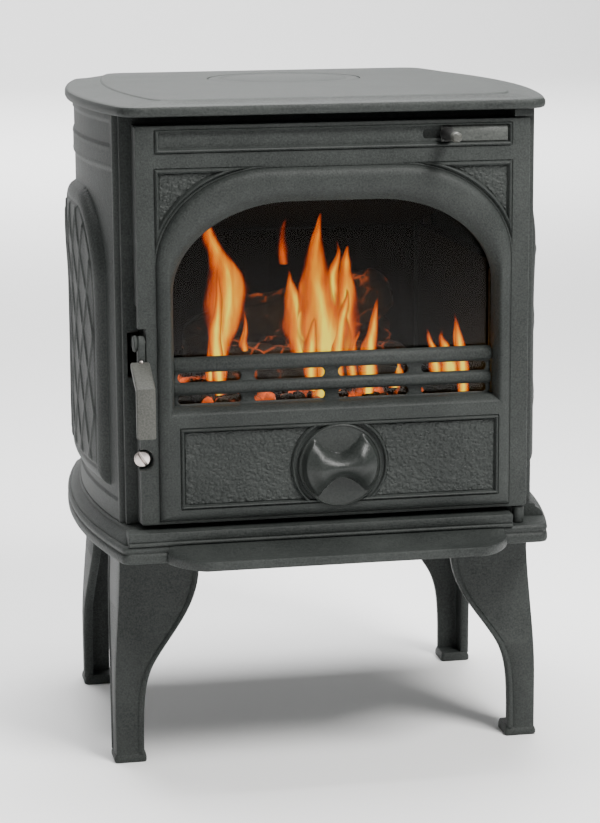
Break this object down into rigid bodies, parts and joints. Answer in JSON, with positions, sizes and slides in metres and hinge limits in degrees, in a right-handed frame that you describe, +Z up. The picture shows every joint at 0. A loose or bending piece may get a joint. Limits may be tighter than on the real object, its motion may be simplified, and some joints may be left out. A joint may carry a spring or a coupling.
{
  "type": "wood burning stove",
  "caption": "Free-standing cast-iron wood stove on cabriole legs, with a hinged glazed door, a lift latch, a sliding air control, a turning air disc and a rear flue outlet.",
  "frame": {"origin": "on the floor under the middle of the whole object", "axes": "+X to the right of someone facing the door, +Y from the door towards the flue outlet, +Z up"},
  "size_m": [0.466, 0.482, 0.645],
  "materials": {
    "cast_iron": "satin stove paint over fine sand-cast grain",
    "dark_iron": "sooty, matte",
    "steel": "dull zinc-grey steel",
    "bright_steel": "bright turned steel",
    "lever_iron": "lightly worn satin grey",
    "glass": "clear ceramic glass, slightly smoked",
    "rope": "braided glass-fibre rope",
    "firebrick": "rough vermiculite board, sooted",
    "charred_wood": "charred, checked surface",
    "embers": "glowing coals and pale ash"
  },
  "bodies": {
    "stove_body": {"top_plate": "cast_iron", "flue_cover": "cast_iron", "flue_cover_bar": "dark_iron", "flue_cover_bolt": "steel", "side_panel_right": "cast_iron", "side_panel_left": "cast_iron", "back_plate": "cast_iron", "flue_collar": "cast_iron", "flue_collar_screw_left": "steel", "flue_collar_screw_right": "steel", "front_frame": "cast_iron", "base_plate": "cast_iron", "leg_front_left": "cast_iron", "leg_front_right": "cast_iron", "leg_back_left": "cast_iron", "leg_back_right": "cast_iron", "leg_bolt_front_left": "steel", "leg_bolt_back_left": "steel", "leg_bolt_front_right": "steel", "leg_bolt_back_right": "steel", "tie_rod_front_left": "steel", "tie_rod_back_left": "steel", "tie_rod_front_right": "steel", "tie_rod_back_right": "steel", "grate_rail_right": "dark_iron", "grate_rail_left": "dark_iron", "grate": "dark_iron", "side_liner_right": "firebrick", "side_liner_left": "firebrick", "fireback": "firebrick", "baffle_plate": "dark_iron", "log_retainer": "dark_iron", "ash_pan": "steel", "ember_bed": "embers", "log_back": "charred_wood", "log_front": "charred_wood", "log_top": "charred_wood", "upper_hinge_pin": "steel", "lower_hinge_boss": "cast_iron", "lower_hinge_pin": "steel", "latch_keeper": "steel"},
    "door": {"door_frame": "cast_iron", "door_seal": "rope", "door_glass": "glass", "glass_gasket": "rope", "door_grille": "cast_iron", "glass_clip_left": "steel", "glass_clip_right": "steel", "glass_clip_screw_left": "steel", "glass_clip_screw_right": "steel", "latch_pivot_pin": "steel", "latch_screw": "bright_steel"},
    "latch": {"latch_handle": "lever_iron"},
    "secondary_air": {"air_slide": "lever_iron", "air_slide_knob": "lever_iron", "air_slide_nut": "steel"},
    "primary_air": {"air_disc": "cast_iron", "air_disc_spindle": "steel", "air_shutter": "steel", "air_disc_nut": "steel"}
  },
  "joints": [
    {"name": "door_hinge", "type": "hinge", "parent": "stove_body", "child": "door", "pos_m": [0.181, -0.183, 0.43], "axis": [0, 0, 1], "range_deg": [0, 110]},
    {"name": "latch_lift", "type": "hinge", "parent": "door", "child": "latch", "pos_m": [-0.1864, -0.1867, 0.422], "axis": [-1, 0, 0], "range_deg": [0, 50]},
    {"name": "air_slide_travel", "type": "slide", "parent": "door", "child": "secondary_air", "axis": [-1, 0, 0], "range_m": [0, 0.018]},
    {"name": "air_disc_turn", "type": "hinge", "parent": "door", "child": "primary_air", "pos_m": [0.0015, -0.2, 0.2987], "axis": [0, -1, 0], "range_deg": [0, 45]}
  ]
}
